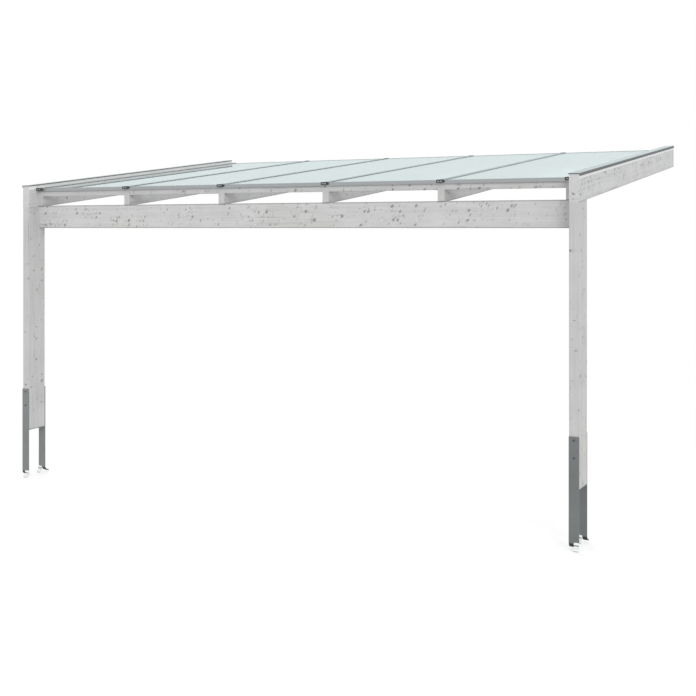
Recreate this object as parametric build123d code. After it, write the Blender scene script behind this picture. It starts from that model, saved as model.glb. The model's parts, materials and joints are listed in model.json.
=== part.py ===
from build123d import *

import math
import os

# Patio cover of glued laminated spruce with a glazed roof, carried by a house wall and two posts.
# X runs along the wall, Y towards it and Z up. The origin is the centre of the wall ledger's
# back face, so the whole cover lies where Y is negative. Lengths are in millimetres.

# Plan and heights
width = 5570  # outer face to outer face of the side beams
depth = 3620  # wall to the front ends of the side beams
roof_pitch = 7  # degrees, falling away from the wall
post_length = 1976  # foot of a post to the underside of the front beam

# Timber sections
post_width = 80
post_depth = 220
side_beam_width = 80
side_beam_height = 220
front_beam_width = 80
front_beam_height = 220
ledger_width = 60
ledger_height = 160
rafter_count = 6
rafter_width = 60
rafter_height = 160
rafter_nose = 12  # rafters and battens beyond the front beam
seat_depth = 9  # cut from the rafters' underside at the front of the beam
batten_width = 60  # battens between the rafters, under the lower ends of the panes
batten_height = 60
arris = 3  # chamfer along the long edges of the timbers

# Holes through the ledger for the bolts into the wall
wall_bolt_hole = 14
wall_bolt_stagger = 40  # above and below the ledger's middle, in turn

# Glazing
strip_height = 10  # rubber strips that the panes lie on
pane_thickness = 10
pane_gap = 16  # between two neighbouring panes
pane_overhang = 10  # panes beyond the front ends of the rafters
wall_gap = 6  # between the wall and the nearest metal of the roof's upper edge

# Glazing bars
bar_width = 55
bar_lip = 2  # rubber lips under both edges of a bar
bar_thickness = 2.8
bar_crown = 1.2  # chamfer along both upper edges of a bar
bar_web = 8
screw_groove_width = 18
screw_groove_depth = 1
end_cap_width = 60
end_cap_wall = 2
end_cap_round = 4
front_cap_depth = 22
cap_pocket_width = 18
cap_pocket_height = 9
cap_pocket_depth = 1

# Channels along the free edges of the panes
channel_wall = 2
channel_grip = 14
channel_play = 2  # between a channel and the bar or cap beside it
apron_height = 16  # below the channel, over the front of the batten
drip_nose = 4
eave_joint = 10  # between two eave profiles, under a bar

# Sheet covers of the side beams
cover_sheet = 2
cover_outer_lip = 19
cover_inner_lip = 7
cover_front_lip = 6
cover_standoff = 3  # between the lips and the wood
cover_hem = 5
cover_front_overhang = 4

# Post anchors, cast into the footings
anchor_leg_length = 800
anchor_plate = 8
anchor_grip = 394  # height of the legs beside the post
anchor_bolt_hole = 11
anchor_bolt_inset = 27  # below the upper ends of the legs
anchor_bolt_pitch = 134
splay_drop = 46
splay_reach = 52
wave_drop = 61
wave_reach = 26
wave_height = 5
half_waves = 3
tongue_slit = 3

slope = math.radians(roof_pitch)
front = -depth
beam_rear = front + post_depth
beam_front = beam_rear - front_beam_width
nose = beam_front - rafter_nose
underside_at_wall = ledger_height / 2 - rafter_height / math.cos(slope)
rafter_pitch = (width - 2 * side_beam_width - rafter_width) / (rafter_count - 1)
first_rafter = -(rafter_count - 1) * rafter_pitch / 2

# Heights square to the roof, counted from the underside of the rafters
strip_top = rafter_height + strip_height
pane_top = strip_top + pane_thickness
bar_top = pane_top + bar_lip + bar_thickness

roof = Plane(
    origin=(0, 0, underside_at_wall),
    x_dir=(1, 0, 0),
    z_dir=(0, -math.sin(slope), math.cos(slope)),
)


def underside(y):
    """Height of the rafters' underside at y."""
    return underside_at_wall + y * math.tan(slope)


down_the_roof = Axis((0, 0, 0), (0, -math.cos(slope), -math.sin(slope)))


def run(y, rise):
    """Distance up the slope, from the roof plane's origin, of the point at y and this rise."""
    return (y + rise * math.sin(slope)) / math.cos(slope)


def outline(*points):
    return make_face(Polyline(*points, close=True))


def folded(thickness, *points):
    """Section of a sheet folded along the points, with mitred corners."""
    path = [Vector(*point) for point in points]
    legs = [(b - a).normalized() for a, b in zip(path, path[1:])]
    sides = [Vector(-leg.Y, leg.X) for leg in legs]
    mitres = [sides[0]]
    for one, other in zip(sides, sides[1:]):
        mitres.append((one + other) / (1 + one.dot(other)))
    mitres.append(sides[-1])
    half = thickness / 2
    left = [point + mitre * half for point, mitre in zip(path, mitres)]
    right = [point - mitre * half for point, mitre in zip(path, mitres)]
    return outline(*left, *reversed(right))


def across(section, left, right):
    """Solid from left to right, from a section in Y and Z."""
    return extrude(Plane.YZ.offset(left) * section, right - left)


def across_roof(section, left, right):
    """Solid from left to right, from a section along and square to the roof."""
    start = Plane(
        origin=(left, 0, underside_at_wall),
        x_dir=(0, math.cos(slope), math.sin(slope)),
        z_dir=(1, 0, 0),
    )
    return extrude(start * section, right - left)


def down_roof(section, lower, upper):
    """Solid from the upper to the lower run, from a section in X and square to the roof."""
    start = Plane(
        origin=roof.from_local_coords((0, upper, 0)),
        x_dir=(1, 0, 0),
        z_dir=(0, -math.cos(slope), -math.sin(slope)),
    )
    return extrude(start * section, upper - lower)


def sloping_timber(left, right, y_front, y_rear, low, high):
    """Timber parallel to the roof with plumb ends, low and high counted square to it."""
    plumb_low = low / math.cos(slope)
    plumb_high = high / math.cos(slope)
    section = outline(
        (y_front, underside(y_front) + plumb_low),
        (y_rear, underside(y_rear) + plumb_low),
        (y_rear, underside(y_rear) + plumb_high),
        (y_front, underside(y_front) + plumb_high),
    )
    return across(section, left, right)


def eased(timber, along):
    """Timber with its long edges chamfered."""
    return chamfer(timber.edges().filter_by(along), arris)


def block(low, high):
    size = [b - a for a, b in zip(low, high)]
    return Pos(*low) * Box(*size, align=(Align.MIN, Align.MIN, Align.MIN))


def mirrored(shape):
    return mirror(shape, about=Plane.YZ)


def rafter_x(number):
    return first_rafter + number * rafter_pitch


def front_beam_underside():
    return underside(beam_front) + seat_depth - front_beam_height


def anchor_bolt_drill(x):
    """Both bolt holes through a post and the legs of its anchor."""
    length = post_depth + 2 * anchor_plate
    y = (front + beam_rear) / 2
    upper = front_beam_underside() - post_length + anchor_grip - anchor_bolt_inset
    drill = Rot(90, 0, 0) * Cylinder(anchor_bolt_hole / 2, length)
    return Compound([Pos(x, y, upper - number * anchor_bolt_pitch) * drill for number in range(2)])


def left_post():
    """Post with its head cut to the slope, under the side beam."""
    left = -width / 2
    foot = front_beam_underside() - post_length
    section = outline(
        (front, foot),
        (beam_rear, foot),
        (beam_rear, underside(beam_rear)),
        (front, underside(front)),
    )
    post = eased(across(section, left, left + post_width), Axis.Z)
    return post - anchor_bolt_drill(left + post_width / 2)


def front_beam():
    """Beam between the posts, flush with their backs."""
    reach = width / 2 - post_width
    low = front_beam_underside()
    beam = block((-reach, beam_front, low), (reach, beam_rear, low + front_beam_height))
    return eased(beam, Axis.X)


def wall_ledger():
    """Ledger between the side beams, its top bevelled to the slope, with holes for the wall bolts."""
    reach = width / 2 - side_beam_width
    half = ledger_height / 2
    section = outline(
        (-ledger_width, -half),
        (0, -half),
        (0, half),
        (-ledger_width, half - ledger_width * math.tan(slope)),
    )
    ledger = eased(across(section, -reach, reach), Axis.X)
    for number in range(2 * (rafter_count - 1)):
        x = rafter_x(0) + (number + 0.5) * rafter_pitch / 2
        z = wall_bolt_stagger if number % 2 else -wall_bolt_stagger
        drill = Pos(x, -ledger_width / 2, z) * Rot(90, 0, 0)
        ledger -= drill * Cylinder(wall_bolt_hole / 2, ledger_width)
    return ledger


def left_side_beam():
    left = -width / 2
    beam = sloping_timber(left, left + side_beam_width, front, 0, 0, side_beam_height)
    return eased(beam, down_the_roof)


def rafter(number):
    """Rafter from the ledger over the front beam, its underside cut level from the beam to the nose."""
    left = rafter_x(number) - rafter_width / 2
    right = left + rafter_width
    timber = sloping_timber(left, right, nose, -ledger_width, 0, rafter_height)
    low = front_beam_underside()
    seat = block((left, nose, low), (right, beam_rear, low + front_beam_height))
    return eased(timber, down_the_roof) - seat


def eave_batten(number):
    """Batten between two rafters, flush with their tops and noses."""
    left = rafter_x(number) + rafter_width / 2
    right = rafter_x(number + 1) - rafter_width / 2
    low = rafter_height - batten_height
    return eased(sloping_timber(left, right, nose, nose + batten_width, low, rafter_height), Axis.X)


pane_lower = run(nose - pane_overhang, pane_top)
pane_upper = run(-wall_gap - channel_wall, pane_top)
bar_upper = run(-wall_gap - end_cap_wall, bar_top)
front_cap_upper = pane_lower - channel_wall
front_cap_lower = front_cap_upper - front_cap_depth


def pane(number):
    """Sheet of glass over one bay, from the middle of one rafter to the next."""
    left = rafter_x(number) + pane_gap / 2
    right = rafter_x(number + 1) - pane_gap / 2
    section = outline((left, strip_top), (right, strip_top), (right, pane_top), (left, pane_top))
    return down_roof(section, pane_lower, pane_upper)


def rafter_strip(number):
    """Rubber strip along a rafter. Beside a side beam its outer half also fills in for a pane."""
    x = rafter_x(number)
    half = rafter_width / 2
    section = outline(
        (x - half, rafter_height), (x + half, rafter_height), (x + half, strip_top), (x - half, strip_top)
    )
    outward = {0: -1, rafter_count - 1: 1}.get(number)
    if outward:
        near = x + outward * pane_gap / 2
        far = x + outward * half
        section += outline((near, strip_top), (far, strip_top), (far, pane_top), (near, pane_top))
    return down_roof(section, run(beam_front, rafter_height), bar_upper)


def cross_strip(number, lower, upper):
    """Rubber strip across a bay, between the strips of the two rafters."""
    left = rafter_x(number) + rafter_width / 2
    right = rafter_x(number + 1) - rafter_width / 2
    section = outline(
        (lower, rafter_height), (upper, rafter_height), (upper, strip_top), (lower, strip_top)
    )
    return across_roof(section, left, right)


def eave_strip(number):
    return cross_strip(number, run(beam_front, rafter_height), run(nose + batten_width, rafter_height))


def wall_strip(number):
    lower = run(-ledger_width, rafter_height)
    return cross_strip(number, lower, pane_upper - channel_grip - channel_play)


def glazing_bar(number):
    """Clamping bar over a rafter: a grooved top with two lips, and a web between the panes."""
    x = rafter_x(number)
    half = bar_width / 2
    groove = screw_groove_width / 2
    web = bar_web / 2
    lip_top = pane_top + bar_lip
    top = outline(
        (x - half, lip_top),
        (x + half, lip_top),
        (x + half, bar_top - bar_crown),
        (x + half - 2 * bar_crown, bar_top),
        (x + groove, bar_top),
        (x + groove, bar_top - screw_groove_depth),
        (x - groove, bar_top - screw_groove_depth),
        (x - groove, bar_top),
        (x - half + 2 * bar_crown, bar_top),
        (x - half, bar_top - bar_crown),
    )
    inner = outline((x - web, strip_top), (x + web, strip_top), (x + web, lip_top), (x - web, lip_top))
    for side in (-1, 1):
        outer = x + side * half
        near = outer - side * 3 * bar_lip
        inner += outline((outer, pane_top), (near, pane_top), (near, lip_top), (outer, lip_top))
    bar = down_roof(top, front_cap_lower + end_cap_wall, bar_upper)
    return bar + down_roof(inner, pane_lower, bar_upper)


def cap_outline(number, inset):
    """Section of an end cap, moved inwards by the inset."""
    low = rafter_height + inset
    high = bar_top + end_cap_wall - inset
    shape = RectangleRounded(end_cap_width - 2 * inset, high - low, end_cap_round - inset)
    return Pos(rafter_x(number), (low + high) / 2) * shape


def front_cap(number):
    """Hollow cap over the lower end of a bar, with two shallow pockets in its front."""
    body = down_roof(cap_outline(number, 0), front_cap_lower, front_cap_upper)
    body = chamfer(body.faces().sort_by(Axis.Y)[0].edges(), end_cap_wall / 2)
    hollow = cap_outline(number, end_cap_wall)
    body -= down_roof(hollow, front_cap_lower + end_cap_wall, front_cap_upper)
    middle = (rafter_height + bar_top + end_cap_wall) / 2
    for side in (-1, 1):
        x = rafter_x(number) + side * end_cap_width / 5
        pocket = Pos(x, middle) * Rectangle(cap_pocket_width, cap_pocket_height)
        body -= down_roof(pocket, front_cap_lower, front_cap_lower + cap_pocket_depth)
    return body


def rear_cap(number):
    """Plate over the upper end of a bar."""
    return down_roof(cap_outline(number, 0), bar_upper, bar_upper + end_cap_wall)


def eave_profile(number):
    """Channel on a pane's lower edge with a drip apron. Its upper flange stops beside the bars."""
    half = channel_wall / 2
    face = pane_lower - half
    back = pane_lower + channel_grip
    under = strip_top - half
    low = under - half - apron_height
    channel = folded(channel_wall, (back, under), (face, under), (face, pane_top + channel_wall))
    apron = folded(channel_wall, (face, under), (face, low), (face - drip_nose, low))
    joint = eave_joint / 2
    profile = across_roof(channel + apron, rafter_x(number) + joint, rafter_x(number + 1) - joint)
    flange = outline(
        (face, pane_top),
        (back, pane_top),
        (back, pane_top + channel_wall),
        (face, pane_top + channel_wall),
    )
    reach = bar_width / 2 + channel_play
    return profile + across_roof(flange, rafter_x(number) + reach, rafter_x(number + 1) - reach)


def wall_profile(number):
    """Channel on a pane's upper edge, between the caps of two bars."""
    half = channel_wall / 2
    face = pane_upper + half
    back = pane_upper - channel_grip
    section = folded(
        channel_wall,
        (back, pane_top + half),
        (face, pane_top + half),
        (face, strip_top - half),
        (back, strip_top - half),
    )
    reach = end_cap_width / 2 + channel_play
    return across_roof(section, rafter_x(number) + reach, rafter_x(number + 1) - reach)


def left_side_cover():
    """Folded sheet over a side beam, with a deep outer lip, a shallow inner one and one in front."""
    half = cover_sheet / 2
    outer = -width / 2 - cover_standoff - half
    inner = -width / 2 + side_beam_width + cover_standoff + half
    level = side_beam_height + half
    section = folded(
        cover_sheet,
        (outer - cover_hem, level - cover_outer_lip),
        (outer, level - cover_outer_lip),
        (outer, level),
        (inner, level),
        (inner, level - cover_inner_lip),
    )
    lower = run(front - cover_front_overhang, side_beam_height)
    upper = run(-wall_gap, side_beam_height - cover_outer_lip)
    lip = outline(
        (outer, level - cover_front_lip),
        (inner, level - cover_front_lip),
        (inner, level),
        (outer, level),
    )
    return down_roof(section, lower, upper) + down_roof(lip, lower, lower + cover_sheet)


def tongue(path, left, right):
    """Half of a leg's end, bent along a smooth path in Y and Z."""
    steps = 6 * half_waves
    sides = []
    for side in (1, -1):
        points = []
        for step in range(steps + 1):
            along = path % (step / steps)
            normal = Vector(-along.Y, along.X)
            points.append(path @ (step / steps) + normal * side * anchor_plate / 2)
        sides.append(Spline(*points))
    near, far = sides
    ends = [Line(near @ 1, far @ 1), Line(far @ 0, near @ 0)]
    return across(make_face([near, far, *ends]), left, right)


def splayed_path(y, z):
    """Bend of the tongue that leans towards the wall."""
    tip = (y + splay_reach, z - splay_drop)
    return Spline((y, z), tip, tangents=[(0, -1), (splay_reach, -splay_drop / 2)])


def waved_path(y, z):
    """Waves of the tongue that leans away from the wall."""
    points = []
    steps = 4 * half_waves
    for step in range(steps + 1):
        share = step / steps
        wave = wave_height * math.sin(math.pi * half_waves * share) * min(1, 4 * share)
        points.append((y - wave_reach * share**1.3 - wave, z - wave_drop * share))
    return Spline(*points)


def anchor(outer):
    """H-shaped post anchor whose left face is at outer."""
    foot = front_beam_underside() - post_length
    top = foot + anchor_grip
    low = top - anchor_leg_length
    right = outer + post_width
    middle = outer + post_width / 2
    left_half = (outer, middle - tongue_slit / 2)
    right_half = (middle + tongue_slit / 2, right)
    steel = block((outer, front, foot - anchor_plate), (right, beam_rear, foot))
    for y, splayed, waved in (
        (front - anchor_plate, left_half, right_half),
        (beam_rear, right_half, left_half),
    ):
        steel += block((outer, y, low), (right, y + anchor_plate, top))
        centre = y + anchor_plate / 2
        steel += tongue(splayed_path(centre, low), *splayed)
        steel += tongue(waved_path(centre, low), *waved)
    return steel - anchor_bolt_drill(middle)


def build_parts():
    """All pieces by name."""
    rafters = range(rafter_count)
    bays = range(rafter_count - 1)
    parts = {
        "left_post": left_post(),
        "left_post_anchor": anchor(-width / 2),
        "right_post_anchor": anchor(width / 2 - post_width),
        "front_beam": front_beam(),
        "wall_ledger": wall_ledger(),
        "left_side_beam": left_side_beam(),
        "left_side_cover": left_side_cover(),
    }
    for name in ("post", "side_beam", "side_cover"):
        parts[f"right_{name}"] = mirrored(parts[f"left_{name}"])
    for number in rafters:
        parts[f"rafter_{number + 1}"] = rafter(number)
        parts[f"glazing_bar_{number + 1}"] = glazing_bar(number)
    for number in bays:
        parts[f"eave_batten_{number + 1}"] = eave_batten(number)
        parts[f"glass_panel_{number + 1}"] = pane(number)
        parts[f"eave_profile_{number + 1}"] = eave_profile(number)
    parts["wall_profiles"] = Compound([wall_profile(number) for number in bays])
    parts["rafter_strips"] = Compound([rafter_strip(number) for number in rafters])
    parts["eave_strips"] = Compound([eave_strip(number) for number in bays])
    parts["wall_strips"] = Compound([wall_strip(number) for number in bays])
    parts["front_bar_caps"] = Compound([front_cap(number) for number in rafters])
    parts["rear_bar_caps"] = Compound([rear_cap(number) for number in rafters])
    return parts


os.makedirs("parts", exist_ok=True)
for name, shape in build_parts().items():
    export_step(shape, f"parts/{name}.step")
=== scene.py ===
import json
import math

import bpy
from mathutils import Matrix, Vector


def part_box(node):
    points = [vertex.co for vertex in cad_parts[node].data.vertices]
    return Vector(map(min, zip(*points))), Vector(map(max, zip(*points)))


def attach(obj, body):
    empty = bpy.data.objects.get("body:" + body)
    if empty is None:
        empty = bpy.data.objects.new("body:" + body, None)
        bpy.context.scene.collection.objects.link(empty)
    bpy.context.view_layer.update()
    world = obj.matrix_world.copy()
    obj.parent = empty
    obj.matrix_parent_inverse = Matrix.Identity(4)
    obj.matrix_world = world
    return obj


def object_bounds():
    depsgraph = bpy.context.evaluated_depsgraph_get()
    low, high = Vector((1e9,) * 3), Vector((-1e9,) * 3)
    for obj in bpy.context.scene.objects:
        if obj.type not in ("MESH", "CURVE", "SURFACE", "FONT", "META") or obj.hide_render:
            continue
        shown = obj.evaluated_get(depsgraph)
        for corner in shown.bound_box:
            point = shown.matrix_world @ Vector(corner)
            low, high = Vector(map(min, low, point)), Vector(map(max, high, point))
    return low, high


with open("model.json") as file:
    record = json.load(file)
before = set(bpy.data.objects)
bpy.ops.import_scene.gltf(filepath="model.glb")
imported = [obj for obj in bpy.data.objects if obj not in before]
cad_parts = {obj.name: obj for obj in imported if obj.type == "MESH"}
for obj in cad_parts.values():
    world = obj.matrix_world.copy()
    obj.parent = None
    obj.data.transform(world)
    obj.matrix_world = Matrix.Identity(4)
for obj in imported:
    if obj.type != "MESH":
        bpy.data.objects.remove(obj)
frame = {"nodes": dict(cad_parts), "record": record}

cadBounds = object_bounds()
cadNodes = frame["nodes"]
mm = 0.001

# Patio cover against a house wall: spruce timbers, glass roof, steel post anchors.
# X runs along the wall, Y towards it, Z up, in metres.

roofPitch = math.radians(7)
alongX = Vector((1, 0, 0))
alongY = Vector((0, 1, 0))
alongZ = Vector((0, 0, 1))
upRoof = Vector((0, math.cos(roofPitch), math.sin(roofPitch)))
offRoof = Vector((0, -math.sin(roofPitch), math.cos(roofPitch)))
rafterNumbers = range(1, 7)
bayNumbers = range(1, 6)


def fromHex(colour):
    # colours are written as sRGB and used as linear light
    channels = [int(colour[i:i + 2], 16) / 255 for i in (1, 3, 5)]
    linear = [c / 12.92 if c <= 0.04045 else ((c + 0.055) / 1.055) ** 2.4 for c in channels]
    return (*linear, 1)


def addNode(tree, kind, inputs=None, **settings):
    # an input is a plain value, or the output socket that feeds it
    node = tree.nodes.new("ShaderNode" + kind)
    for name, value in settings.items():
        setattr(node, name, value)
    for name, value in (inputs or {}).items():
        if isinstance(value, bpy.types.NodeSocket):
            tree.links.new(value, node.inputs[name])
        else:
            node.inputs[name].default_value = value
    return node


def startMaterial(name, colour, roughness, metallic=0):
    material = bpy.data.materials.new(name)
    material.use_nodes = True
    tree = material.node_tree
    surface = tree.nodes["Principled BSDF"]
    surface.inputs["Base Color"].default_value = fromHex(colour)
    surface.inputs["Roughness"].default_value = roughness
    surface.inputs["Metallic"].default_value = metallic
    return material, tree, surface


def roofSpace(tree, along, upward, shift=(0, 0, 0)):
    # object coordinates turned so that X runs along the piece and Y up its tall side
    coords = addNode(tree, "TexCoord")
    turn = Matrix((along, upward, along.cross(upward))).to_euler()
    inputs = {"Vector": coords.outputs["Object"], "Rotation": turn, "Location": shift}
    return addNode(tree, "Mapping", inputs).outputs["Vector"]


def stretched(tree, space, scale):
    return addNode(tree, "VectorMath", {0: space, 1: scale}, operation="MULTIPLY").outputs[0]


def reachAlong(name, direction):
    # how far a node reaches in a direction: its lowest and highest place
    places = [v.co.dot(direction) for v in cadNodes[name].data.vertices]
    return min(places), max(places)


def wear(name, material):
    slots = cadNodes[name].data.materials
    slots.clear()
    slots.append(material)


# the glass top's height, square to the roof
paneTop = reachAlong("glass_panel_1", offRoof)[1]


# Materials

# A grain gives how many waves a noise has to the metre: along the timber, up its side and through it.
spruce = {
    "pale": "#c3c3c3",
    "warm": "#bfbeb9",
    "streak": "#adadad",
    "lateWood": "#a4a4a4",
    "thickWash": "#d8d8d7",
    # painted light for the sides above the glass
    "litAboveGlass": "#e4e4e3",
    "knotRim": "#6f6d6c",
    "knotHeart": "#8b8987",
    # the tone of the painted shade along the edges
    "edgeShade": "#8a8988",
    "roughness": 0.62,
    "lamella": 36.7 * mm,
    "boardSlide": (9, 0.4, 0.2),    # the most that a lamella's grain is moved, in metres
    "tintGrain": (1.4, 2, 2),
    "cloudGrain": (5.5, 2.4, 2.4),
    "streakGrain": (1.6, 95, 95),
    "fibreGrain": (16, 420, 420),
    "ring": 5 * mm,
    "ringGrain": (0.8, 4, 4),
    "ringWander": 30 * mm,
    "pithUp": 70 * mm,              # the farthest that the pith lies outside its board
    "pithOut": 60 * mm,
    "bendGrain": (26, 26, 26),
    "knotGrid": 72 * mm,
    "knotLean": 0.42,
    "whorlGrain": (4.2, 2, 2),
    "spotGrain": (45, 70, 70),
    "spikeGap": 300 * mm,
    "spikeSlant": 0.1,
    "spikeBend": 0.08,
    "spikeSlide": 31.7,             # in gaps, to part the boards' spikes
    "dashGrid": 60 * mm,
    "dashCells": (0.35, 1, 0.3),
    "edge": 14 * mm,
}

# Cells are counted to the knot grid, and the size is a knot's largest radius as a share of its cell.
fullKnots = {"cells": (2, 0.8, 0.9), "bend": (0.3, 0.25, 0.3), "scatter": 0.8, "size": 0.38}
smallKnots = {"cells": (3.6, 1.7, 1.6), "bend": (0.6, 0.5, 0.3), "scatter": 1, "size": 0.3}


def layOutBoards(tree, along, upward, outward, shift):
    # each lamella is a board of its own, so its grain starts elsewhere
    space = roofSpace(tree, along, upward, shift)
    axes = addNode(tree, "SeparateXYZ", {0: space}).outputs
    layer = {0: axes["Y"], 1: spruce["lamella"]}
    layer = addNode(tree, "Math", layer, operation="DIVIDE").outputs[0]
    number = addNode(tree, "Math", {0: layer}, operation="FLOOR").outputs[0]
    share = addNode(tree, "Math", {0: layer}, operation="FRACT").outputs[0]
    chance = addNode(tree, "TexWhiteNoise", {"W": number}, noise_dimensions="1D").outputs["Color"]
    odds = addNode(tree, "SeparateColor", {0: chance}).outputs
    slide = {0: chance, 1: spruce["boardSlide"], 2: space}
    board = addNode(tree, "VectorMath", slide, operation="MULTIPLY_ADD").outputs[0]
    bend = {"Vector": stretched(tree, board, spruce["bendGrain"]), "Scale": 1, "Detail": 2}

    # how far a face shows the lamellas' edges: 1 on the sides, 0 on the flats
    normal = addNode(tree, "NewGeometry").outputs["True Normal"]
    side = {0: normal, 1: outward}
    side = addNode(tree, "VectorMath", side, operation="DOT_PRODUCT").outputs["Value"]
    return {
        "space": space,
        "axes": axes,
        "board": board,
        "share": share,
        "odds": odds,
        "fromJoint": addNode(tree, "Math", {0: share, 1: 0.5}, operation="PINGPONG").outputs[0],
        "side": addNode(tree, "Math", {0: side}, operation="ABSOLUTE").outputs[0],
        "bend": addNode(tree, "TexNoise", bend).outputs,
    }


def growthRings(tree, wood):
    # rings about a pith just outside the board, wavy along it
    height = {0: wood["share"], 1: spruce["lamella"]}
    height = addNode(tree, "Math", height, operation="MULTIPLY").outputs[0]
    pithUp = {0: wood["odds"][0], 1: spruce["pithUp"], 2: height}
    pithUp = addNode(tree, "Math", pithUp, operation="MULTIPLY_ADD").outputs[0]
    pithOut = {0: wood["odds"][1], 1: spruce["pithOut"], 2: wood["axes"]["Z"]}
    pithOut = addNode(tree, "Math", pithOut, operation="MULTIPLY_ADD").outputs[0]
    fromPith = addNode(tree, "CombineXYZ", {1: pithUp, 2: pithOut}).outputs[0]
    radius = addNode(tree, "VectorMath", {0: fromPith}, operation="LENGTH").outputs["Value"]
    wave = {"Vector": stretched(tree, wood["board"], spruce["ringGrain"]), "Scale": 1, "Detail": 1}
    wave = addNode(tree, "TexNoise", wave).outputs["Fac"]
    wandered = {0: wave, 1: spruce["ringWander"], 2: radius}
    wandered = addNode(tree, "Math", wandered, operation="MULTIPLY_ADD").outputs[0]
    turns = addNode(tree, "Math", {0: wandered, 1: spruce["ring"]}, operation="DIVIDE").outputs[0]
    phase = addNode(tree, "Math", {0: turns}, operation="FRACT").outputs[0]
    late = {"Value": phase, "From Min": 0.4, "From Max": 0.95, "To Max": 0.16}
    return addNode(tree, "MapRange", late, interpolation_type="SMOOTHSTEP").outputs[0]


def streaksAndVeins(tree, wood):
    # long streaks, and a few dark veins among them
    grain = {"Vector": stretched(tree, wood["board"], spruce["streakGrain"]), "Scale": 1}
    grain.update({"Detail": 4, "Roughness": 0.6})
    grain = addNode(tree, "TexNoise", grain).outputs["Fac"]
    streak = {"Value": grain, "From Min": 0.45, "From Max": 0.75, "To Max": 0.5}
    streak = addNode(tree, "MapRange", streak).outputs[0]
    vein = {"Value": grain, "From Min": 0.62, "From Max": 0.72, "To Max": 0.6}
    vein = addNode(tree, "MapRange", vein, interpolation_type="SMOOTHSTEP").outputs[0]
    return streak, vein


def scatterKnots(tree, space, wood, kind, clear):
    # the distance from the nearest knot, and that knot's radius: next to none where its odds are under clear
    knotScale = 1 / spruce["knotGrid"]
    grid = stretched(tree, space, [cells * knotScale for cells in kind["cells"]])
    grid = {0: wood["bend"]["Color"], 1: kind["bend"], 2: grid}
    grid = addNode(tree, "VectorMath", grid, operation="MULTIPLY_ADD").outputs[0]
    knots = {"Vector": grid, "Scale": 1, "Randomness": kind["scatter"]}
    knots = addNode(tree, "TexVoronoi", knots).outputs
    odds = addNode(tree, "SeparateColor", {0: knots["Color"]}).outputs[0]
    size = {"Value": odds, "From Min": clear, "To Min": 0.02, "To Max": kind["size"]}
    return knots["Distance"], addNode(tree, "MapRange", size).outputs[0]


def knotMarks(tree, wood, clearness):
    # knots stand in whorls, with clear wood between, and all of them lean a little
    whorl = {"Vector": stretched(tree, wood["space"], spruce["whorlGrain"]), "Scale": 1, "Detail": 1}
    whorl = addNode(tree, "TexNoise", whorl).outputs["Fac"]
    clear = {"Value": whorl, "From Min": 0.44, "From Max": 0.58, "To Min": 0.9, "To Max": 0.24 + clearness}
    clear = addNode(tree, "MapRange", clear).outputs[0]
    lean = {0: wood["axes"]["Y"], 1: -spruce["knotLean"]}
    lean = addNode(tree, "Math", lean, operation="MULTIPLY").outputs[0]
    lean = addNode(tree, "CombineXYZ", {0: lean}).outputs[0]
    withinBoard = addNode(tree, "VectorMath", {0: wood["board"], 1: lean}, operation="ADD").outputs[0]
    acrossJoints = addNode(tree, "VectorMath", {0: wood["space"], 1: lean}, operation="ADD").outputs[0]

    # on the sides, the full ones end at the joints of the lamellas, and taper towards them
    taper = {"Value": wood["fromJoint"], "From Max": 0.3, "To Min": 0.25}
    taper = addNode(tree, "MapRange", taper, interpolation_type="SMOOTHSTEP").outputs[0]
    flat = addNode(tree, "Math", {0: 1, 1: wood["side"]}, operation="SUBTRACT").outputs[0]
    taper = addNode(tree, "Math", {0: taper, 1: flat}, operation="MAXIMUM").outputs[0]
    distance, size = scatterKnots(tree, withinBoard, wood, fullKnots, clear)
    size = addNode(tree, "Math", {0: size, 1: taper}, operation="MULTIPLY").outputs[0]
    ratio = addNode(tree, "Math", {0: distance, 1: size}, operation="DIVIDE").outputs[0]

    # small branches stand about the full knots
    distance, size = scatterKnots(tree, acrossJoints, wood, smallKnots, clear)
    smallRatio = addNode(tree, "Math", {0: distance, 1: size}, operation="DIVIDE").outputs[0]

    marks = {
        "rim": {"Value": ratio, "From Min": 1.3, "From Max": 0.7, "To Max": 0.85},
        "heart": {"Value": ratio, "From Min": 0.75, "From Max": 0.35, "To Max": 0.75},
        "halo": {"Value": ratio, "From Min": 3.6, "From Max": 1, "To Max": 0.5},
        "small": {"Value": smallRatio, "From Min": 1.3, "From Max": 0.6, "To Max": 0.75},
        "near": {"Value": ratio, "From Min": 4.5, "From Max": 2},
    }
    for mark, reach in marks.items():
        marks[mark] = addNode(tree, "MapRange", reach, interpolation_type="SMOOTHSTEP").outputs[0]

    # the wash has gathered in pale spots beside some knots
    spot = {"Vector": stretched(tree, wood["board"], spruce["spotGrain"]), "Scale": 1, "Detail": 2}
    spot = addNode(tree, "TexNoise", spot).outputs["Fac"]
    spot = {"Value": spot, "From Min": 0.5, "From Max": 0.74, "To Max": 0.75}
    spot = addNode(tree, "MapRange", spot).outputs[0]
    marks["spot"] = addNode(tree, "Math", {0: spot, 1: marks["near"]}, operation="MULTIPLY").outputs[0]
    return marks


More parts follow.
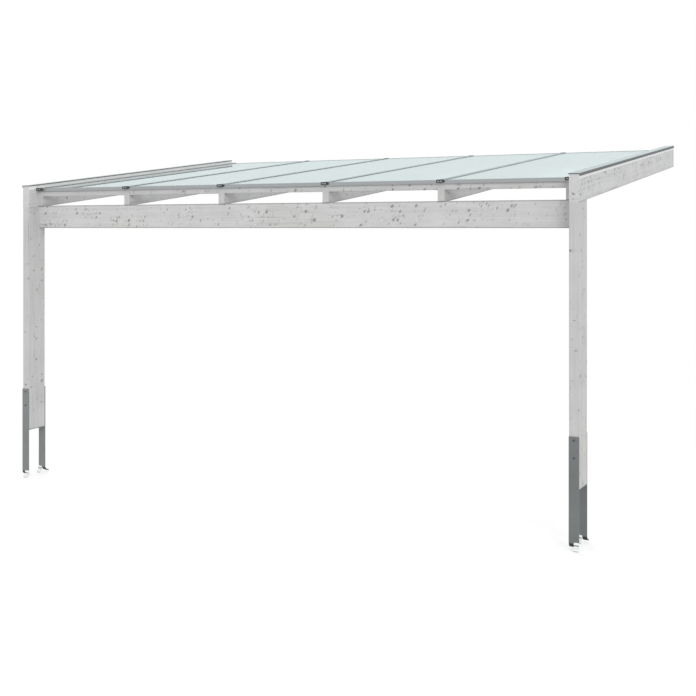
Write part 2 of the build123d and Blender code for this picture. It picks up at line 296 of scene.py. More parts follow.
def spikeKnots(tree, wood):
    # knots cut lengthwise: streaks across one lamella, on the sides only, which lean with their board
    bend = wood["bend"]["Fac"]
    slant = addNode(tree, "Math", {0: wood["odds"][0], 1: 0.5}, operation="SUBTRACT").outputs[0]
    slant = addNode(tree, "Math", {0: slant, 1: spruce["spikeSlant"]}, operation="MULTIPLY").outputs[0]
    lean = addNode(tree, "Math", {0: wood["share"], 1: slant}, operation="MULTIPLY").outputs[0]
    lean = {0: bend, 1: spruce["spikeBend"], 2: lean}
    lean = addNode(tree, "Math", lean, operation="MULTIPLY_ADD").outputs[0]
    place = {0: wood["axes"]["X"], 1: 1 / spruce["spikeGap"], 2: lean}
    place = addNode(tree, "Math", place, operation="MULTIPLY_ADD").outputs[0]
    place = {0: wood["odds"][1], 1: spruce["spikeSlide"], 2: place}
    place = addNode(tree, "Math", place, operation="MULTIPLY_ADD").outputs[0]
    spikes = addNode(tree, "TexVoronoi", {"W": place, "Scale": 1}, voronoi_dimensions="1D").outputs
    odds = addNode(tree, "SeparateColor", {0: spikes["Color"]}).outputs[0]
    depth = {"Value": odds, "From Min": 0.35, "From Max": 0.85, "To Max": 0.95}
    depth = addNode(tree, "MapRange", depth).outputs[0]
    spike = {"Value": spikes["Distance"], "From Min": 0.036, "From Max": 0.012, "To Max": depth}
    spike = addNode(tree, "MapRange", spike, interpolation_type="SMOOTHSTEP").outputs[0]
    broken = {"Value": bend, "From Min": 0.38, "From Max": 0.52}
    broken = addNode(tree, "MapRange", broken).outputs[0]
    fading = {"Value": wood["fromJoint"], "From Max": 0.35}
    fading = addNode(tree, "MapRange", fading, interpolation_type="SMOOTHSTEP").outputs[0]
    for part in (broken, fading, wood["side"]):
        spike = addNode(tree, "Math", {0: spike, 1: part}, operation="MULTIPLY").outputs[0]
    return spike


def resinDashes(tree, wood):
    # short dashes along the grain: resin pockets and small cut branches
    dashScale = 1 / spruce["dashGrid"]
    grid = stretched(tree, wood["board"], [cells * dashScale for cells in spruce["dashCells"]])
    dashes = addNode(tree, "TexVoronoi", {"Vector": grid, "Scale": 1}).outputs
    odds = addNode(tree, "SeparateColor", {0: dashes["Color"]}).outputs[1]
    depth = addNode(tree, "MapRange", {"Value": odds, "From Min": 0.5, "To Max": 0.8}).outputs[0]
    dash = {"Value": dashes["Distance"], "From Min": 0.1, "From Max": 0.05, "To Max": depth}
    return addNode(tree, "MapRange", dash, interpolation_type="SMOOTHSTEP").outputs[0]


def paintedEdgeShade(tree, wood, name, upward, outward, shift, edgeShadeStrength):
    # painted edge shade: the wood darkens towards its edges. A place on a side lies inside by its height, and
    # one on a flat by its depth
    inward = []
    for axis, direction, moved in (("Y", upward, shift[1]), ("Z", outward, shift[2])):
        low, high = reachAlong(name, direction)
        centred = {0: wood["axes"][axis], 1: (low + high) / 2 + moved}
        centred = addNode(tree, "Math", centred, operation="SUBTRACT").outputs[0]
        centred = addNode(tree, "Math", {0: centred}, operation="ABSOLUTE").outputs[0]
        depth = addNode(tree, "Math", {0: (high - low) / 2, 1: centred}, operation="SUBTRACT")
        inward.append(depth.outputs[0])
    inside = addNode(tree, "Math", {0: inward[0], 1: inward[1]}, operation="MAXIMUM").outputs[0]
    edgeShadeMask = {"Value": inside, "From Min": spruce["edge"], "From Max": 1 * mm, "To Max": edgeShadeStrength}
    return addNode(tree, "MapRange", edgeShadeMask, interpolation_type="SMOOTHSTEP").outputs[0]


def paintedLightAboveGlass(tree, wood):
    # painted light: the sides that stand above the glass are lighter, as if lit by the sky and by light off
    # the glass
    above = addNode(tree, "SeparateXYZ", {0: roofSpace(tree, upRoof, offRoof)}).outputs["Y"]
    above = {"Value": above, "From Min": paneTop - 2 * mm, "From Max": paneTop + 2 * mm, "To Max": 0.85}
    above = addNode(tree, "MapRange", above).outputs[0]
    return addNode(tree, "Math", {0: above, 1: wood["side"]}, operation="MULTIPLY").outputs[0]


def whitewashedSpruce(name, along, upward, shift, light, edgeShadeStrength, clearness):
    # glued laminated spruce, planed and white-washed: pale grey, and its knots and late wood show through
    material, tree, surface = startMaterial(name + "_spruce", spruce["pale"], spruce["roughness"])
    outward = along.cross(upward)
    wood = layOutBoards(tree, along, upward, outward, shift)
    streak, vein = streaksAndVeins(tree, wood)
    knots = knotMarks(tree, wood, clearness)
    tint = {"Vector": stretched(tree, wood["space"], spruce["tintGrain"]), "Scale": 1, "Detail": 2}
    tint = addNode(tree, "TexNoise", tint).outputs["Fac"]
    tint = {"Value": tint, "From Min": 0.5, "From Max": 0.75, "To Max": 0.6}
    tint = addNode(tree, "MapRange", tint).outputs[0]

    # one tone over another
    tones = [
        (tint, "warm"),
        (streak, "streak"),
        (growthRings(tree, wood), "lateWood"),
        (knots["halo"], "lateWood"),
        (knots["spot"], "thickWash"),
        (vein, "knotHeart"),
        (spikeKnots(tree, wood), "knotHeart"),
        (resinDashes(tree, wood), "knotHeart"),
        (knots["small"], "knotRim"),
        (knots["rim"], "knotRim"),
        (knots["heart"], "knotHeart"),
        # painted shade along the edges
        (paintedEdgeShade(tree, wood, name, upward, outward, shift, edgeShadeStrength), "edgeShade"),
        # painted light on the sides above the glass
        (paintedLightAboveGlass(tree, wood), "litAboveGlass"),
    ]
    colour = fromHex(spruce["pale"])
    for strength, tone in tones:
        layers = {0: strength, 6: colour, 7: fromHex(spruce[tone])}
        colour = addNode(tree, "Mix", layers, data_type="RGBA").outputs[2]

    # then a slow cloudiness and a tone for each board
    cloud = {"Vector": stretched(tree, wood["space"], spruce["cloudGrain"]), "Scale": 1, "Detail": 3}
    cloud = addNode(tree, "TexNoise", cloud).outputs["Fac"]
    boardTone = {0: wood["odds"][2], 1: 0.2, 2: cloud}
    boardTone = addNode(tree, "Math", boardTone, operation="MULTIPLY_ADD").outputs[0]
    # a piece's lightness scales its whole tone; the posts, rafters and battens are kept darker as painted
    # shade
    brightness = {"Value": boardTone, "From Min": 0.38, "From Max": 0.78}
    brightness.update({"To Min": 0.95 * light, "To Max": 1.03 * light})
    brightness = addNode(tree, "MapRange", brightness).outputs[0]
    toned = addNode(tree, "HueSaturation", {"Value": brightness, "Color": colour}).outputs[0]
    tree.links.new(toned, surface.inputs["Base Color"])

    # planed surface, with the fibres and knots just standing
    fibre = {"Vector": stretched(tree, wood["board"], spruce["fibreGrain"]), "Scale": 1, "Detail": 3}
    fibre = addNode(tree, "TexNoise", fibre).outputs["Fac"]
    relief = {0: knots["rim"], 1: 0.15, 2: fibre}
    relief = addNode(tree, "Math", relief, operation="MULTIPLY_ADD").outputs[0]
    bump = addNode(tree, "Bump", {"Height": relief, "Strength": 0.2, "Distance": 0.4 * mm})
    tree.links.new(bump.outputs[0], surface.inputs["Normal"])
    return material


steel = {
    "coat": "#676a6b",
    "thin": "#727576",
    # bare zinc, near white partly as painted reflection, and the painted shade on its down-facing waves
    "zinc": "#e9ebeb",
    "shadedZinc": "#555858",
    # painted shade, nearly black, for the splayed halves
    "splayedShade": "#1e2021",
    "roughness": 0.5,
    "metallic": 0.2,
    "zincMetallic": 0.35,
    "spangle": 9 * mm,
    "cloud": 200 * mm,
    "tongueHeight": 62.4 * mm,    # of the split ends below the straight legs
    # how far up the painted shade reaches on the splayed halves
    "splayedShadeHeight": 18 * mm,
    "leftPaintedLight": 1.3,             # painted light: the left anchor's coat is lighter, as if it stood in more sun
    "rightPaintedLight": 1,
}


def coatedSteel(name, centre, legEnd, paintedLightness):
    # flat steel, galvanised and coated dark grey. The waved tongues under the legs have kept their bare zinc
    material, tree, surface = startMaterial(name, steel["coat"], steel["roughness"], steel["metallic"])
    coords = addNode(tree, "TexCoord").outputs["Object"]
    spangle = addNode(tree, "TexVoronoi", {"Vector": coords, "Scale": 1 / steel["spangle"]})
    flakes = addNode(tree, "SeparateColor", {0: spangle.outputs["Color"]}).outputs[0]
    cloud = {"Vector": coords, "Scale": 1 / steel["cloud"], "Detail": 4}
    cloud = addNode(tree, "TexNoise", cloud).outputs["Fac"]
    mottle = addNode(tree, "Math", {0: flakes, 1: 0.2, 2: cloud}, operation="MULTIPLY_ADD").outputs[0]
    mottle = addNode(tree, "MapRange", {"Value": mottle, "From Min": 0.35, "From Max": 0.95}).outputs[0]
    layers = {0: mottle, 6: fromHex(steel["coat"]), 7: fromHex(steel["thin"])}
    coat = addNode(tree, "Mix", layers, data_type="RGBA").outputs[2]
    # painted light: the coat is lighter on the anchor that stands in more light
    coat = addNode(tree, "HueSaturation", {"Value": paintedLightness, "Color": coat}).outputs[0]

    # the waved half is the right one under a front leg, and the left one under a rear leg
    offset = addNode(tree, "VectorMath", {0: coords, 1: centre}, operation="SUBTRACT").outputs[0]
    axes = addNode(tree, "SeparateXYZ", {0: offset}).outputs
    crossed = addNode(tree, "Math", {0: axes["X"], 1: axes["Y"]}, operation="MULTIPLY").outputs[0]
    waved = addNode(tree, "Math", {0: crossed, 1: 0}, operation="LESS_THAN").outputs[0]
    level = addNode(tree, "SeparateXYZ", {0: coords}).outputs["Z"]
    below = addNode(tree, "Math", {0: level, 1: legEnd}, operation="LESS_THAN").outputs[0]
    bare = addNode(tree, "Math", {0: waved, 1: below}, operation="MULTIPLY").outputs[0]

    # painted shade: below the legs' ends the coat darkens to nearly black, which shows on the splayed halves
    splayedShade = {"Value": level, "From Min": legEnd, "From Max": legEnd - steel["splayedShadeHeight"]}
    splayedShade = addNode(tree, "MapRange", splayedShade, interpolation_type="SMOOTHSTEP").outputs[0]
    layers = {0: splayedShade, 6: coat, 7: fromHex(steel["splayedShade"])}
    coat = addNode(tree, "Mix", layers, data_type="RGBA").outputs[2]

    # the bare zinc is near white where it faces up, partly its own colour and partly painted reflection of
    # the sky, and dark where it faces down, as painted shade
    normal = addNode(tree, "NewGeometry").outputs["True Normal"]
    lift = addNode(tree, "SeparateXYZ", {0: normal}).outputs["Z"]
    under = addNode(tree, "MapRange", {"Value": lift, "From Min": 0.02, "From Max": -0.3}).outputs[0]
    layers = {0: under, 6: fromHex(steel["zinc"]), 7: fromHex(steel["shadedZinc"])}
    zincLitAndShaded = addNode(tree, "Mix", layers, data_type="RGBA").outputs[2]
    layers = {0: bare, 6: coat, 7: zincLitAndShaded}
    colour = addNode(tree, "Mix", layers, data_type="RGBA").outputs[2]
    tree.links.new(colour, surface.inputs["Base Color"])
    metal = {"Value": bare, "To Min": steel["metallic"], "To Max": steel["zincMetallic"]}
    tree.links.new(addNode(tree, "MapRange", metal).outputs[0], surface.inputs["Metallic"])
    dulled = {"Value": flakes, "To Min": steel["roughness"] - 0.05, "To Max": steel["roughness"] + 0.08}
    tree.links.new(addNode(tree, "MapRange", dulled).outputs[0], surface.inputs["Roughness"])
    bump = addNode(tree, "Bump", {"Height": cloud, "Strength": 0.15, "Distance": 0.3 * mm})
    tree.links.new(bump.outputs[0], surface.inputs["Normal"])
    return material


coverSheet = {
    "coat": "#5a5d5e",
    "dust": "#636667",
    "flatRoughness": 0.08,
    "lipRoughness": 0.5,
    "ior": 1.42,
    "dustGrain": (3, 30, 30),
    "peel": 2.5 * mm,
}


def coatedAluminium():
    # folded aluminium sheet, coil-coated grey: rain keeps the flat smooth, and the lips are dull with dust
    material, tree, surface = startMaterial("coatedAluminium", coverSheet["coat"], coverSheet["lipRoughness"])
    surface.inputs["IOR"].default_value = coverSheet["ior"]
    space = roofSpace(tree, upRoof, offRoof)
    dust = {"Vector": stretched(tree, space, coverSheet["dustGrain"]), "Scale": 1, "Detail": 4}
    dust = addNode(tree, "TexNoise", dust).outputs["Fac"]
    dust = addNode(tree, "MapRange", {"Value": dust, "From Min": 0.4, "From Max": 0.8}).outputs[0]
    layers = {0: dust, 6: fromHex(coverSheet["coat"]), 7: fromHex(coverSheet["dust"])}
    colour = addNode(tree, "Mix", layers, data_type="RGBA").outputs[2]
    tree.links.new(colour, surface.inputs["Base Color"])
    normal = addNode(tree, "NewGeometry").outputs["True Normal"]
    flat = addNode(tree, "VectorMath", {0: normal, 1: offRoof}, operation="DOT_PRODUCT").outputs["Value"]
    gloss = {"Value": flat, "To Min": coverSheet["lipRoughness"], "To Max": coverSheet["flatRoughness"]}
    tree.links.new(addNode(tree, "MapRange", gloss).outputs[0], surface.inputs["Roughness"])
    peel = {"Vector": space, "Scale": 1 / coverSheet["peel"], "Detail": 1}
    peel = addNode(tree, "TexNoise", peel).outputs["Fac"]
    bump = addNode(tree, "Bump", {"Height": peel, "Strength": 0.1, "Distance": 0.1 * mm})
    tree.links.new(bump.outputs[0], surface.inputs["Normal"])
    return material


extrusion = {
    "metal": "#abaeaf",
    "line": "#9b9e9f",
    "rubber": "#55585a",
    "roughness": 0.2,
    "metallic": 0.8,
    "dieLine": 1.3 * mm,
}


def anodisedAluminium(name, along, upward, lipHeights=None):
    # aluminium extrusion, anodised: satin, with fine die lines along it. Its rubber lips are dark grey
    material, tree, surface = startMaterial(
        name, extrusion["metal"], extrusion["roughness"], extrusion["metallic"]
    )
    space = roofSpace(tree, along, upward)
    lineScale = 1 / extrusion["dieLine"]
    lines = {"Vector": stretched(tree, space, (2, lineScale, lineScale)), "Scale": 1, "Detail": 2}
    lines = addNode(tree, "TexNoise", lines).outputs["Fac"]
    layers = {0: lines, 6: fromHex(extrusion["metal"]), 7: fromHex(extrusion["line"])}
    colour = addNode(tree, "Mix", layers, data_type="RGBA").outputs[2]
    if lipHeights:
        low, high = lipHeights
        level = addNode(tree, "SeparateXYZ", {0: space}).outputs["Y"]
        above = addNode(tree, "Math", {0: level, 1: low}, operation="GREATER_THAN").outputs[0]
        below = addNode(tree, "Math", {0: level, 1: high}, operation="LESS_THAN").outputs[0]
        lip = addNode(tree, "Math", {0: above, 1: below}, operation="MULTIPLY").outputs[0]
        layers = {0: lip, 6: colour, 7: fromHex(extrusion["rubber"])}
        colour = addNode(tree, "Mix", layers, data_type="RGBA").outputs[2]
        metal = {"Value": lip, "To Min": extrusion["metallic"], "To Max": 0}
        tree.links.new(addNode(tree, "MapRange", metal).outputs[0], surface.inputs["Metallic"])
    tree.links.new(colour, surface.inputs["Base Color"])
    bump = addNode(tree, "Bump", {"Height": lines, "Strength": 0.05, "Distance": 0.05 * mm})
    tree.links.new(bump.outputs[0], surface.inputs["Normal"])
    return material


glass = {
    "tint": "#f3f8f7",
    "daylight": "#f3f4f4",
    "ior": 1.52,
    "roughness": 0.02,
    "film": "#b9cccc",
    "filmSquare": 0.03,
    "filmGrazing": 0.1,
    "rainMarks": 1.7,    # to the metre
}


def laminatedGlass():
    # clear laminated panes, with a thin veil of rain marks and dust that shows along the roof
    material, tree, surface = startMaterial("laminatedGlass", glass["tint"], glass["roughness"])
    surface.inputs["Transmission Weight"].default_value = 1
    surface.inputs["IOR"].default_value = glass["ior"]
    space = roofSpace(tree, upRoof, offRoof)
    marks = {"Vector": space, "Scale": glass["rainMarks"], "Detail": 5}
    marks = addNode(tree, "TexNoise", marks).outputs["Fac"]
    marks = addNode(tree, "MapRange", {"Value": marks, "To Min": 0.85, "To Max": 1.15}).outputs[0]
    facing = addNode(tree, "LayerWeight", {"Blend": 0.5}).outputs["Facing"]
    veil = {"Value": facing, "From Min": 0.5, "From Max": 0.95}
    veil.update({"To Min": glass["filmSquare"], "To Max": glass["filmGrazing"]})
    veil = addNode(tree, "MapRange", veil, interpolation_type="SMOOTHSTEP").outputs[0]
    veil = addNode(tree, "Math", {0: veil, 1: marks}, operation="MULTIPLY").outputs[0]
    film = addNode(tree, "BsdfDiffuse", {"Color": fromHex(glass["film"])}).outputs[0]
    pane = addNode(tree, "MixShader", {0: veil, 1: surface.outputs[0], 2: film}).outputs[0]

    # daylight falls through the panes onto what is under the roof
    rays = addNode(tree, "LightPath").outputs
    light = {0: rays["Is Shadow Ray"], 1: rays["Is Diffuse Ray"]}
    light = addNode(tree, "Math", light, operation="MAXIMUM").outputs[0]
    clear = addNode(tree, "BsdfTransparent", {"Color": fromHex(glass["daylight"])}).outputs[0]
    mixed = addNode(tree, "MixShader", {0: light, 1: pane, 2: clear}).outputs[0]
    tree.links.new(mixed, tree.nodes["Material Output"].inputs["Surface"])
    return material


endCaps = {
    "shell": "#2a2c2d",
    "scuff": "#363839",
    "pocket": "#9da0a1",
    "roughness": 0.45,
    "grain": 0.8 * mm,
    "pocketHeight": 9 * mm,
    "frontWall": 0.5 * mm,
}


def mouldedPlastic(frontFace, middle):
    # moulded end caps: matt and nearly black, with two pale pockets in each front one
    material, tree, surface = startMaterial("mouldedPlastic", endCaps["shell"], endCaps["roughness"])
    space = roofSpace(tree, upRoof, offRoof)
    speck = {"Vector": space, "Scale": 1 / endCaps["grain"], "Detail": 3}
    speck = addNode(tree, "TexNoise", speck).outputs["Fac"]
    layers = {0: speck, 6: fromHex(endCaps["shell"]), 7: fromHex(endCaps["scuff"])}
    shell = addNode(tree, "Mix", layers, data_type="RGBA").outputs[2]

    # a pocket's floor looks down the roof, and lies a little behind the front face
    normal = addNode(tree, "NewGeometry").outputs["True Normal"]
    looks = addNode(tree, "VectorMath", {0: normal, 1: -upRoof}, operation="DOT_PRODUCT").outputs["Value"]
    inside = addNode(tree, "Math", {0: looks, 1: 0.9}, operation="GREATER_THAN").outputs[0]
    axes = addNode(tree, "SeparateXYZ", {0: space}).outputs
    behind = {0: axes["X"], 1: frontFace + endCaps["frontWall"]}
    behind = addNode(tree, "Math", behind, operation="GREATER_THAN").outputs[0]
    inside = addNode(tree, "Math", {0: inside, 1: behind}, operation="MULTIPLY").outputs[0]
    fromMiddle = addNode(tree, "Math", {0: axes["Y"], 1: middle}, operation="SUBTRACT").outputs[0]
    fromMiddle = addNode(tree, "Math", {0: fromMiddle}, operation="ABSOLUTE").outputs[0]
    level = {0: fromMiddle, 1: endCaps["pocketHeight"] / 2}
    level = addNode(tree, "Math", level, operation="LESS_THAN").outputs[0]
    inside = addNode(tree, "Math", {0: inside, 1: level}, operation="MULTIPLY").outputs[0]
    layers = {0: inside, 6: shell, 7: fromHex(endCaps["pocket"])}
    colour = addNode(tree, "Mix", layers, data_type="RGBA").outputs[2]
    tree.links.new(colour, surface.inputs["Base Color"])
    bump = addNode(tree, "Bump", {"Height": speck, "Strength": 0.2, "Distance": 0.1 * mm})
    tree.links.new(bump.outputs[0], surface.inputs["Normal"])
    return material


sealingRubber = {"colour": "#202122", "speckle": "#2b2c2d", "roughness": 0.7, "grain": 1.5 * mm}
zincPlate = {
    "colour": "#b4b8ba",
    "speckle": "#9a9ea0",
    "roughness": 0.32,
    "grain": 4 * mm,
    "metallic": 0.9,
}
boltCoat = {
    "colour": "#4b4d4e",
    "speckle": "#585a5b",
    "roughness": 0.4,
    "grain": 3 * mm,
    "metallic": 0.3,
}


def plainFinish(name, colour, speckle, roughness, grain, metallic=0):
    # a small part's finish: two close tones and a fine grain of that size
    material, tree, surface = startMaterial(name, colour, roughness, metallic)
    coords = addNode(tree, "TexCoord").outputs["Object"]
    speck = addNode(tree, "TexNoise", {"Vector": coords, "Scale": 1 / grain, "Detail": 3}).outputs["Fac"]
    layers = {0: speck, 6: fromHex(colour), 7: fromHex(speckle)}
    mixed = addNode(tree, "Mix", layers, data_type="RGBA").outputs[2]
    tree.links.new(mixed, surface.inputs["Base Color"])
    bump = addNode(tree, "Bump", {"Height": speck, "Strength": 0.2, "Distance": 0.1 * mm})
    tree.links.new(bump.outputs[0], surface.inputs["Normal"])
    return material


print("stage: materials for the packed pieces")

# Every timber has its own grain: along, upward, a shift that picks its stretch of wood, how light it is (kept
# lower on the posts, rafters and battens as painted shade), how strongly its edges are darkened with painted
# edge shade, and how clear of knots it is.
timbers = {
    "left_post": (alongZ, alongY, (3.1, 0.012, 0), 0.9, 0.1, 0.55),
    "right_post": (alongZ, alongY, (19.3, 0.016, 0), 0.9, 0.1, 0.6),
    "front_beam": (alongX, alongZ, (5.3, 0.009, 0), 0.97, 0.9, 0),
    "wall_ledger": (alongX, alongZ, (21.9, 0.004, 0), 1, 0.2, 0.1),
    "left_side_beam": (upRoof, offRoof, (31.3, 0.018, 0), 1, 0.1, 0.1),
    "right_side_beam": (upRoof, offRoof, (42.9, 0.006, 0), 0.97, 0.3, 0.1),
}
for number in rafterNumbers:
    stretch = (60 + 3.7 * number, 0.005 * number, 0)
    timbers[f"rafter_{number}"] = (upRoof, offRoof, stretch, 0.89, 0.6, 0.4)
for number in bayNumbers:
    stretch = (90 + 2.3 * number, 0.006 * number, 0)
    timbers[f"eave_batten_{number}"] = (alongX, offRoof, stretch, 0.87, 0.2, 0.4)
for name, look in timbers.items():
    wear(name, whitewashedSpruce(name, *look))

# the bars' rubber lips stand on the glass
barLips = (paneTop - 1 * mm, paneTop + 2 * mm)
barMetal = anodisedAluminium("anodisedBar", upRoof, offRoof, barLips)
channelMetal = anodisedAluminium("anodisedChannel", alongX, offRoof)
sheetMetal = coatedAluminium()
roofGlass = laminatedGlass()
stripRubber = plainFinish("sealingRubber", **sealingRubber)
capFront = reachAlong("front_bar_caps", upRoof)[0]
capFoot, capTop = reachAlong("front_bar_caps", offRoof)
capPlastic = mouldedPlastic(capFront, (capFoot + capTop) / 2)
zinc = plainFinish("zincPlatedSteel", **zincPlate)

for number in rafterNumbers:
    wear(f"glazing_bar_{number}", barMetal)
for number in bayNumbers:
    wear(f"glass_panel_{number}", roofGlass)
    wear(f"eave_profile_{number}", channelMetal)
wear("wall_profiles", channelMetal)
for side in ("left", "right"):
    wear(side + "_side_cover", sheetMetal)
    anchor = side + "_post_anchor"
    low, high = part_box(side + "_post")
    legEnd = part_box(anchor)[0].z + steel["tongueHeight"]
    wear(anchor, coatedSteel(anchor + "_steel", (low + high) / 2, legEnd, steel[side + "PaintedLight"]))
for name in ("rafter_strips", "eave_strips", "wall_strips"):
    wear(name, stripRubber)
for name in ("front_bar_caps", "rear_bar_caps"):
    wear(name, capPlastic)


# Bolts and screws

print("stage: bolts and screws")

smoothAngle = math.radians(35)


def addRound(radius, depth, foot, sides):
    # a turned or hexagonal body whose foot is that high over the seat
    bpy.ops.object.select_all(action="DESELECT")
    bpy.ops.mesh.primitive_cylinder_add(
        vertices=sides, radius=radius, depth=depth, location=(0, 0, foot + depth / 2)
    )
    bpy.ops.object.transform_apply(location=True, rotation=True, scale=True)
    return bpy.context.object


def easeTop(body, width, steps):
    # select the top face, and bevel its outline
    bpy.context.tool_settings.mesh_select_mode = (False, False, True)
    bpy.ops.object.mode_set(mode="EDIT")
    bpy.ops.mesh.select_all(action="DESELECT")
    bpy.ops.object.mode_set(mode="OBJECT")
    for face in body.data.polygons:
        face.select = face.normal.z > 0.9
    bpy.ops.object.mode_set(mode="EDIT")
    bpy.ops.mesh.bevel(offset=width, segments=steps, affect="EDGES")
    bpy.ops.object.mode_set(mode="OBJECT")


def cutSocket(body, acrossFlats, depth, top):
    # a hexagonal socket in the head
    cutter = addRound(acrossFlats / math.sqrt(3), 2 * depth, top - depth, 6)
    bpy.context.view_layer.objects.active = body
    socket = body.modifiers.new("socket", "BOOLEAN")
    socket.object = cutter
    bpy.ops.object.modifier_apply(modifier=socket.name)
    bpy.data.objects.remove(cutter)


def joined(pieces):
    bpy.ops.object.select_all(action="DESELECT")
    for piece in pieces:
        piece.select_set(True)
    bpy.context.view_layer.objects.active = pieces[0]
    if len(pieces) > 1:
        bpy.ops.object.join()
    return bpy.context.object


def setOut(name, pattern, seats, material):
    # one copy of the pattern on each seat, which is a place and the direction that the head looks in
    copies = []
    for place, direction in seats:
        copy = pattern.copy()
        copy.data = pattern.data.copy()
        turn = direction.to_track_quat("Z", "X").to_matrix().to_4x4()
        copy.data.transform(Matrix.Translation(place) @ turn)
        bpy.context.scene.collection.objects.link(copy)
        copies.append(copy)
    piece = joined(copies)
    piece.name = name
    piece.data.materials.clear()
    piece.data.materials.append(material)
    bpy.ops.object.shade_smooth_by_angle(angle=smoothAngle)
    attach(piece, "root")


anchorBolt = {
    "headWidth": 16 * mm,
    "headHeight": 5.5 * mm,
    "dome": 3.4 * mm,
    "socket": 6 * mm,
    "socketDepth": 3 * mm,
    "nutFlats": 16 * mm,
    "nutHeight": 8 * mm,
    "washerWidth": 20 * mm,
    "washer": 2 * mm,
    "threadWidth": 10 * mm,
    "threadEnd": 4 * mm,
    "inset": 27 * mm,
    "pitch": 134 * mm,
    "plate": 8 * mm,
}


def buttonHead():
    # domed head with a hexagonal socket
    height = anchorBolt["headHeight"]
    head = addRound(anchorBolt["headWidth"] / 2, height, 0, 32)
    easeTop(head, anchorBolt["dome"], 5)
    cutSocket(head, anchorBolt["socket"], anchorBolt["socketDepth"], height)
    return head


def nutOnWasher(sizes):
    # washer, chamfered nut, and the end of the thread, which starts just inside the nut
    washer = addRound(sizes["washerWidth"] / 2, sizes["washer"], 0, 32)
    easeTop(washer, 0.3 * sizes["washer"], 1)
    nut = addRound(sizes["nutFlats"] / math.sqrt(3), sizes["nutHeight"], sizes["washer"], 6)
    easeTop(nut, 0.1 * sizes["nutHeight"], 2)
    overlap = 1 * mm
    threadFoot = sizes["washer"] + sizes["nutHeight"] - overlap
    thread = addRound(sizes["threadWidth"] / 2, sizes["threadEnd"] + overlap, threadFoot, 24)
    easeTop(thread, 0.1 * sizes["threadWidth"], 1)
    return [washer, nut, thread]


boltSteel = plainFinish("coatedBoltSteel", **boltCoat)
headPattern = buttonHead()
nutPattern = joined(nutOnWasher(anchorBolt))
for side in ("left", "right"):
    low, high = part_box(side + "_post")
    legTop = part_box(side + "_post_anchor")[1].z
    across = (low.x + high.x) / 2
    levels = [legTop - anchorBolt["inset"] - step * anchorBolt["pitch"] for step in (0, 1)]
    fronts = [(Vector((across, low.y - anchorBolt["plate"], level)), -alongY) for level in levels]
    backs = [(Vector((across, high.y + anchorBolt["plate"], level)), alongY) for level in levels]
    setOut(side + "_anchor_bolt_heads", headPattern, fronts, boltSteel)
    setOut(side + "_anchor_bolt_nuts", nutPattern, backs, boltSteel)
bpy.data.objects.remove(headPattern)
bpy.data.objects.remove(nutPattern)

# the bolts that hold the ledger to the wall, in the bores that the record lists
wallBolt = {
    "nutFlats": 18 * mm,
    "nutHeight": 10 * mm,
    "washerWidth": 37 * mm,
    "washer": 3 * mm,
    "threadWidth": 12 * mm,
    "threadEnd": 6 * mm,
    "shortOfWall": 0.5 * mm,
}
ledgerFace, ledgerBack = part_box("wall_ledger")
shankLength = ledgerBack.y - ledgerFace.y - wallBolt["shortOfWall"]
shank = addRound(wallBolt["threadWidth"] / 2, shankLength, -shankLength, 24)
easeTop(shank, 0.05 * wallBolt["threadWidth"], 1)
wallPattern = joined([shank] + nutOnWasher(wallBolt))
seats = []
for mount in frame["record"]["mounts"]:
    if mount["name"].startswith("wall_bolt"):
        bore = mount["pos_m"]
        seats.append((Vector((bore[0], ledgerFace.y, bore[2])), -alongY))
setOut("wall_bolts", wallPattern, seats, zinc)
bpy.data.objects.remove(wallPattern)

# flat screws in the groove of every glazing bar
barScrew = {
    "width": 12 * mm,
    "height": 2.2 * mm,
    "round": 1.4 * mm,
    "socket": 4 * mm,
    "socketDepth": 1.4 * mm,
    "groove": 1 * mm,
    "fromEnd": 90 * mm,
    "count": 10,
}
screwPattern = addRound(barScrew["width"] / 2, barScrew["height"], 0, 20)
easeTop(screwPattern, barScrew["round"], 2)
cutSocket(screwPattern, barScrew["socket"], barScrew["socketDepth"], barScrew["height"])
for number in rafterNumbers:
    bar = f"glazing_bar_{number}"
    low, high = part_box(bar)
    first, last = reachAlong(bar, upRoof)
    first, last = first + barScrew["fromEnd"], last - barScrew["fromEnd"]
    grooveFloor = reachAlong(bar, offRoof)[1] - barScrew["groove"]
    seats = []
    for step in range(barScrew["count"]):
        along = first + (last - first) * step / (barScrew["count"] - 1)
        seats.append(((low.x + high.x) / 2 * alongX + along * upRoof + grooveFloor * offRoof, offRoof))
    setOut(f"bar_screws_{number}", screwPattern, seats, zinc)
bpy.data.objects.remove(screwPattern)


# Floor, light and camera

studio = {
    "floorColour": "#fafafa",
    "floorBounce": "#e4e4e4",
    "floorSize": 160,
    "floorGap": 1 * mm,
    "plainWhite": 0.55,            # share of plain white in the floor under the object
    "shadowReach": (3.2, 7.5),     # from here to there the floor fades into plain white
    "skyForLight": 0.92,
    "skyMirrored": "#ecf6f6",
    "keyStrength": 1.15,
    "keyFrom": (27, -30, 20),
    "fillStrength": 0.85,
    "fillFrom": (-24, 26, 16),
    "softness": 28,
}


def seenDirectly(tree):
    # 1 for the camera and for what metal and glass show of the studio
    rays = addNode(tree, "LightPath").outputs
    seen = addNode(tree, "Math", {0: rays["Is Camera Ray"], 1: rays["Is Glossy Ray"]}, operation="MAXIMUM")
    both = {0: seen.outputs[0], 1: rays["Is Transmission Ray"]}
    return addNode(tree, "Math", both, operation="MAXIMUM").outputs[0]


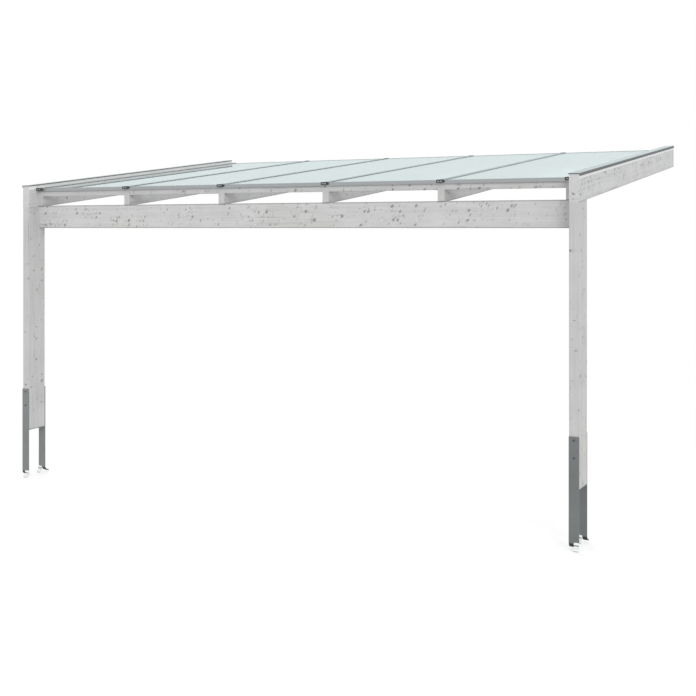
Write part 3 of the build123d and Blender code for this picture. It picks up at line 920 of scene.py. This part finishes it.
def studioFloor():
    # matt white floor, which runs out into a plain white ground away from the posts
    material = bpy.data.materials.new("studioFloor")
    material.use_nodes = True
    tree = material.node_tree
    tree.nodes.remove(tree.nodes["Principled BSDF"])
    coords = addNode(tree, "TexCoord").outputs["Object"]
    distance = addNode(tree, "VectorMath", {0: coords}, operation="LENGTH").outputs["Value"]
    near, far = studio["shadowReach"]
    away = {"Value": distance, "From Min": near, "From Max": far, "To Min": studio["plainWhite"]}
    away = addNode(tree, "MapRange", away, interpolation_type="SMOOTHSTEP").outputs[0]
    seen = seenDirectly(tree)
    share = addNode(tree, "Math", {0: away, 1: seen}, operation="MULTIPLY").outputs[0]
    layers = {0: seen, 6: fromHex(studio["floorBounce"]), 7: fromHex(studio["floorColour"])}
    colour = addNode(tree, "Mix", layers, data_type="RGBA").outputs[2]
    matt = addNode(tree, "BsdfDiffuse", {"Color": colour})
    white = addNode(tree, "Emission", {"Color": (1, 1, 1, 1), "Strength": 1})
    mixed = addNode(tree, "MixShader", {0: share, 1: matt.outputs[0], 2: white.outputs[0]})
    tree.links.new(mixed.outputs[0], tree.nodes["Material Output"].inputs["Surface"])
    return material


def whiteSky():
    # plain white behind the object and through the glass. Gloss shows a faintly blue-green sky
    world = bpy.data.worlds.new("whiteSky")
    world.use_nodes = True
    tree = world.node_tree
    light = {"Value": seenDirectly(tree), "To Min": studio["skyForLight"], "To Max": 1}
    light = addNode(tree, "MapRange", light).outputs[0]
    glossy = addNode(tree, "LightPath").outputs["Is Glossy Ray"]
    layers = {0: glossy, 6: (1, 1, 1, 1), 7: fromHex(studio["skyMirrored"])}
    colour = addNode(tree, "Mix", layers, data_type="RGBA").outputs[2]
    backdrop = tree.nodes["Background"]
    tree.links.new(colour, backdrop.inputs["Color"])
    tree.links.new(light, backdrop.inputs["Strength"])
    bpy.context.scene.world = world


def addSun(name, source, strength, glints):
    # a soft sun. It is never seen through the glass, and gloss mirrors it only if it glints
    lamp = bpy.data.lights.new(name, "SUN")
    lamp.energy = strength
    lamp.angle = math.radians(studio["softness"])
    holder = bpy.data.objects.new(name, lamp)
    holder.location = source
    holder.visible_glossy = glints
    holder.visible_transmission = False
    holder.rotation_euler = Vector(source).to_track_quat("Z", "Y").to_euler()
    bpy.context.scene.collection.objects.link(holder)


print("stage: floor, light and camera")
lowest, highest = cadBounds
floorPlace = ((lowest[0] + highest[0]) / 2, lowest[1], lowest[2] - studio["floorGap"])
bpy.ops.object.select_all(action="DESELECT")
bpy.ops.mesh.primitive_circle_add(
    vertices=96, radius=studio["floorSize"] / 2, fill_type="NGON", location=floorPlace
)
floor = bpy.context.object
floor.name = "studio_floor"
floor.data.materials.append(studioFloor())
whiteSky()
addSun("keyLight", studio["keyFrom"], studio["keyStrength"], True)
addSun("fillLight", studio["fillFrom"], studio["fillStrength"], False)

# the photograph is 696 pixels square, and its horizon lies above the middle, at the front beam's lower edge
photo = {"size": 696, "focalLength": 1110.88, "horizon": 227.6, "sensor": 36, "farthest": 300}
eye = {"place": (5.074, -11.891, -0.7157), "turnedLeft": math.radians(27.23)}
lens = bpy.data.cameras.new("photoCamera")
lens.sensor_width = photo["sensor"]
lens.lens = photo["focalLength"] * photo["sensor"] / photo["size"]
lens.shift_y = (photo["horizon"] - photo["size"] / 2) / photo["size"]
lens.clip_end = photo["farthest"]
camera = bpy.data.objects.new("photoCamera", lens)
camera.location = eye["place"]
camera.rotation_euler = (math.radians(90), 0, eye["turnedLeft"])
bpy.context.scene.collection.objects.link(camera)
bpy.context.scene.camera = camera
bpy.context.scene.view_settings.view_transform = "Standard"
